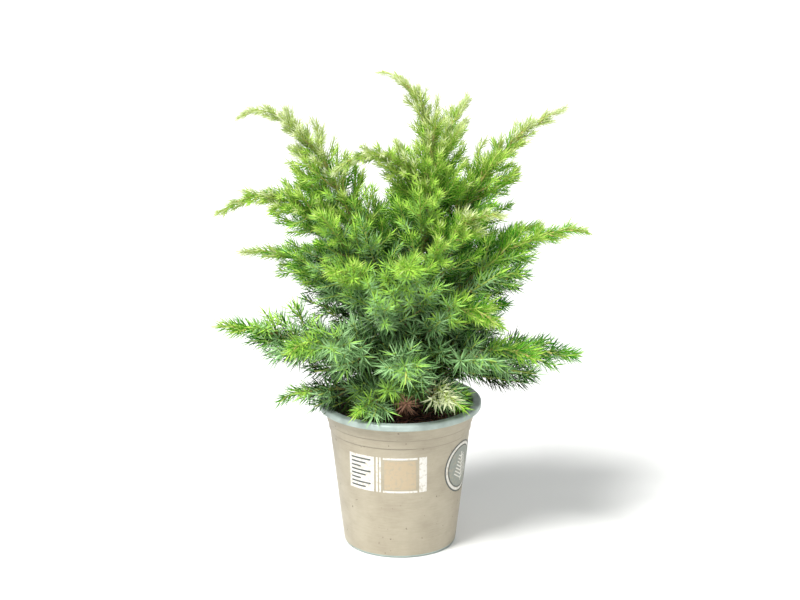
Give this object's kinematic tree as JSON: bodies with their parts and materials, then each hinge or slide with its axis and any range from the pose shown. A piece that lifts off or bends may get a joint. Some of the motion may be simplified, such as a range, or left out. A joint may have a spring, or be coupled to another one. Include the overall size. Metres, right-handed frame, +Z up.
{
  "type": "potted blue swede juniper",
  "caption": "Young spreading juniper with arching, needle-clad boughs on a short stem, growing in a round tapered nursery pot filled with peat.",
  "frame": {"origin": "middle of the pot's flat underside", "axes": "+Z up along the pot's axis; the plant's front is seen looking along +Y, with +X to the right"},
  "size_m": [0.2054, 0.1481, 0.265],
  "materials": {
    "pot": "thin injection-moulded plastic, taupe with a pale blue-green rim",
    "peat": "damp crumbly peat with bark fibre",
    "bark": "thin, brown, flaking young bark",
    "low_foliage": "blue-green needles with a waxy silver upper face",
    "mid_foliage": "mid-green needles with a paler upper face",
    "top_foliage": "soft bright green to yellow-green young needles"
  },
  "bodies": {
    "root": {"pot": "pot", "peat": "peat", "main_stem": "bark", "bough_low_left": "bark", "foliage_low_left": "low_foliage", "bough_low_rim_left": "bark", "foliage_low_rim_left": "low_foliage", "bough_low_front_left": "bark", "foliage_low_front_left": "low_foliage", "bough_low_front_right": "bark", "foliage_low_front_right": "low_foliage", "bough_low_front": "bark", "foliage_low_front": "low_foliage", "bough_low_left_front": "bark", "foliage_low_left_front": "low_foliage", "bough_low_right_front": "bark", "foliage_low_right_front": "low_foliage", "bough_low_right": "bark", "foliage_low_right": "low_foliage", "bough_low_back_right": "bark", "foliage_low_back_right": "low_foliage", "bough_low_back": "bark", "foliage_low_back": "low_foliage", "bough_low_back_left": "bark", "foliage_low_back_left": "low_foliage", "bough_mid_left": "bark", "foliage_mid_left": "mid_foliage", "bough_mid_front_left": "bark", "foliage_mid_front_left": "mid_foliage", "bough_mid_front": "bark", "foliage_mid_front": "mid_foliage", "bough_mid_front_right": "bark", "foliage_mid_front_right": "mid_foliage", "bough_mid_right": "bark", "foliage_mid_right": "mid_foliage", "bough_mid_back_right": "bark", "foliage_mid_back_right": "mid_foliage", "bough_mid_back": "bark", "foliage_mid_back": "mid_foliage", "bough_mid_back_left": "bark", "foliage_mid_back_left": "mid_foliage", "bough_upper_left": "bark", "foliage_upper_left": "top_foliage", "bough_high_left": "bark", "foliage_high_left": "top_foliage", "bough_high_arch": "bark", "foliage_high_arch": "top_foliage", "bough_high_front_right": "bark", "foliage_high_front_right": "top_foliage", "bough_high_right": "bark", "foliage_high_right": "top_foliage", "bough_high_back_left": "bark", "foliage_high_back_left": "top_foliage", "bough_high_back_right": "bark", "foliage_high_back_right": "top_foliage", "foliage_leader": "top_foliage"}
  },
  "joints": []
}
